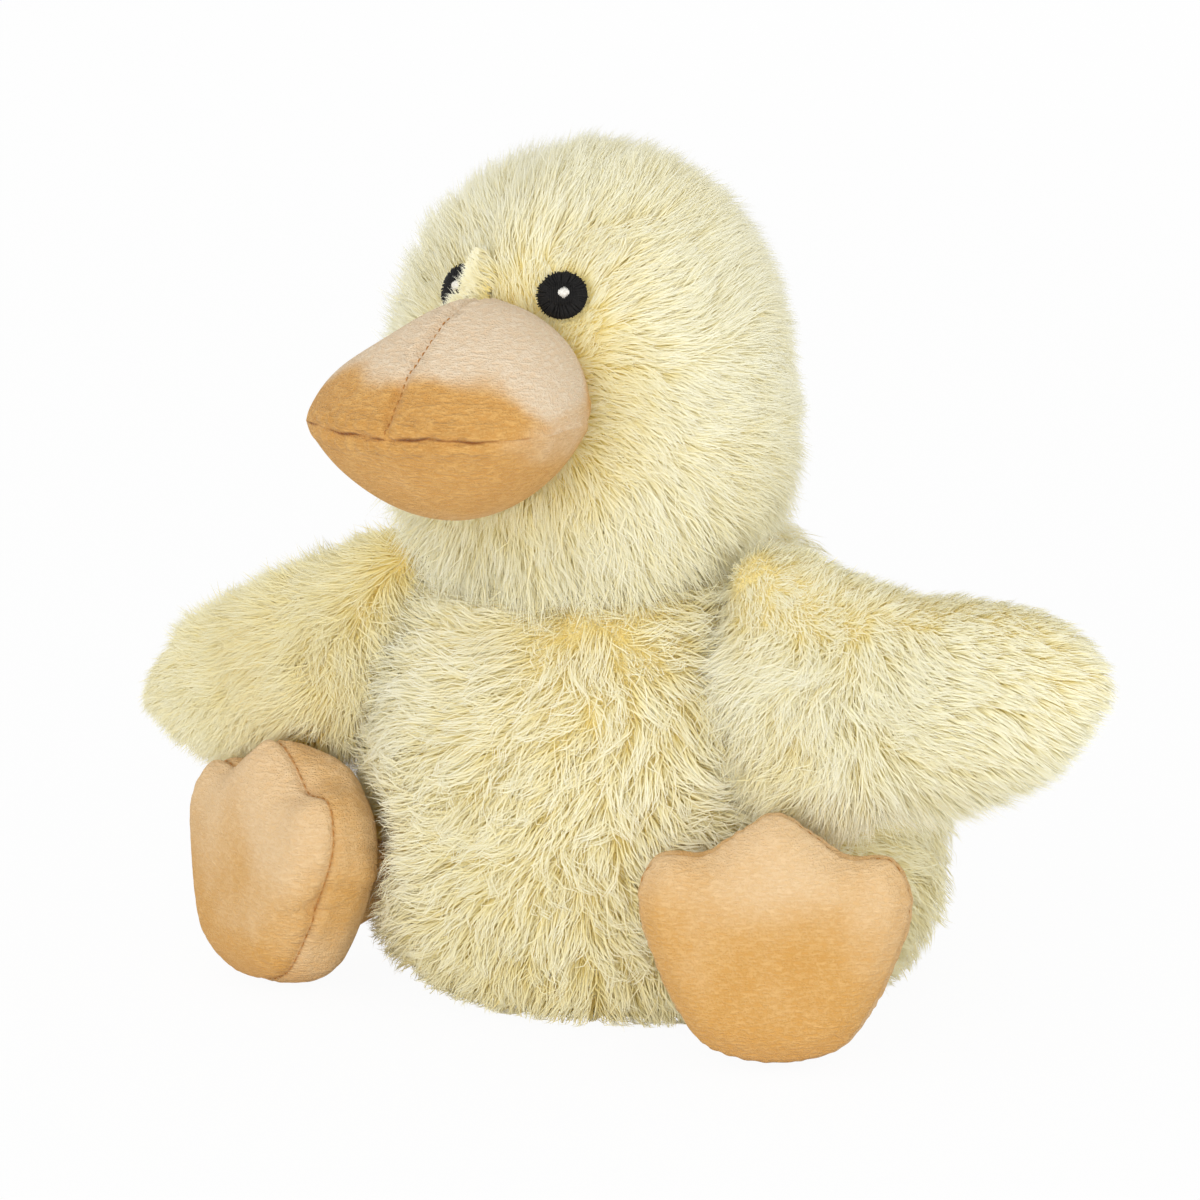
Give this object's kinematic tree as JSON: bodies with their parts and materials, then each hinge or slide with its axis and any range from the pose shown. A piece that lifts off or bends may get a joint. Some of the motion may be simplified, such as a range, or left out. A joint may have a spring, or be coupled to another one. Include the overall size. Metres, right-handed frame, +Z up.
{
  "type": "heatable plush chick",
  "caption": "Seated plush chick with a broad bill, spread wings, webbed feet and a grain pouch inside for warming.",
  "frame": {"origin": "centre of the flat seat under the body", "axes": "+Z up, -Y the way the chick faces, +X its own left"},
  "size_m": [0.3109, 0.2091, 0.2356],
  "materials": {
    "fur": "long-pile polyester plush, pale cream yellow, tousled",
    "velour": "short-pile velour plush, peach orange, brushed nap",
    "black_thread": "satin-stitch embroidery",
    "white_thread": "satin-stitch embroidery",
    "pouch_cotton": "plain woven lining cloth",
    "grain": "loose treated millet grain with dried lavender",
    "fibre": "carded polyester filling"
  },
  "bodies": {
    "torso": {"body_front_panel": "fur", "body_back_left_panel": "fur", "body_back_right_panel": "fur", "body_base_panel": "fur", "pouch_front_cloth": "pouch_cotton", "pouch_back_cloth": "pouch_cotton", "grain_filling": "grain", "body_fibre": "fibre"},
    "head": {"head_left_panel": "fur", "head_right_panel": "fur", "head_gusset": "fur", "head_fibre": "fibre", "bill_upper_left_panel": "velour", "bill_upper_right_panel": "velour", "bill_lower_panel": "velour", "bill_fibre": "fibre", "left_eye": "black_thread", "right_eye": "black_thread", "left_eye_highlight": "white_thread", "right_eye_highlight": "white_thread"},
    "left_wing": {"left_wing_front_panel": "fur", "left_wing_back_panel": "fur", "left_wing_fibre": "fibre"},
    "right_wing": {"right_wing_front_panel": "fur", "right_wing_back_panel": "fur", "right_wing_fibre": "fibre"},
    "left_foot": {"left_foot_sole": "velour", "left_foot_upper": "velour", "left_foot_fibre": "fibre"},
    "right_foot": {"right_foot_sole": "velour", "right_foot_upper": "velour", "right_foot_fibre": "fibre"}
  },
  "joints": [
    {"name": "head_nod", "type": "hinge", "parent": "torso", "child": "head", "pos_m": [0, 0, 0.06956], "axis": [1, 0, 0], "range_deg": [-10, 10], "stiffness_Nm_per_rad": 3},
    {"name": "left_wing_swing", "type": "hinge", "parent": "torso", "child": "left_wing", "pos_m": [0.06655, -0.04159, 0.0936], "axis": [-0.3024, 0.189, 0.9342], "range_deg": [-25, 20], "stiffness_Nm_per_rad": 0.2},
    {"name": "right_wing_swing", "type": "hinge", "parent": "torso", "child": "right_wing", "pos_m": [-0.06655, -0.04159, 0.0936], "axis": [-0.3024, -0.189, -0.9342], "range_deg": [-14, 20], "stiffness_Nm_per_rad": 0.2},
    {"name": "left_foot_swing", "type": "hinge", "parent": "torso", "child": "left_foot", "pos_m": [0.07012, -0.06096, 0.02836], "axis": [0.6561, 0.7547, 0], "range_deg": [-4, 25], "stiffness_Nm_per_rad": 0.3},
    {"name": "right_foot_swing", "type": "hinge", "parent": "torso", "child": "right_foot", "pos_m": [-0.07012, -0.06096, 0.02836], "axis": [0.6561, -0.7547, 0], "range_deg": [-4, 25], "stiffness_Nm_per_rad": 0.3}
  ]
}
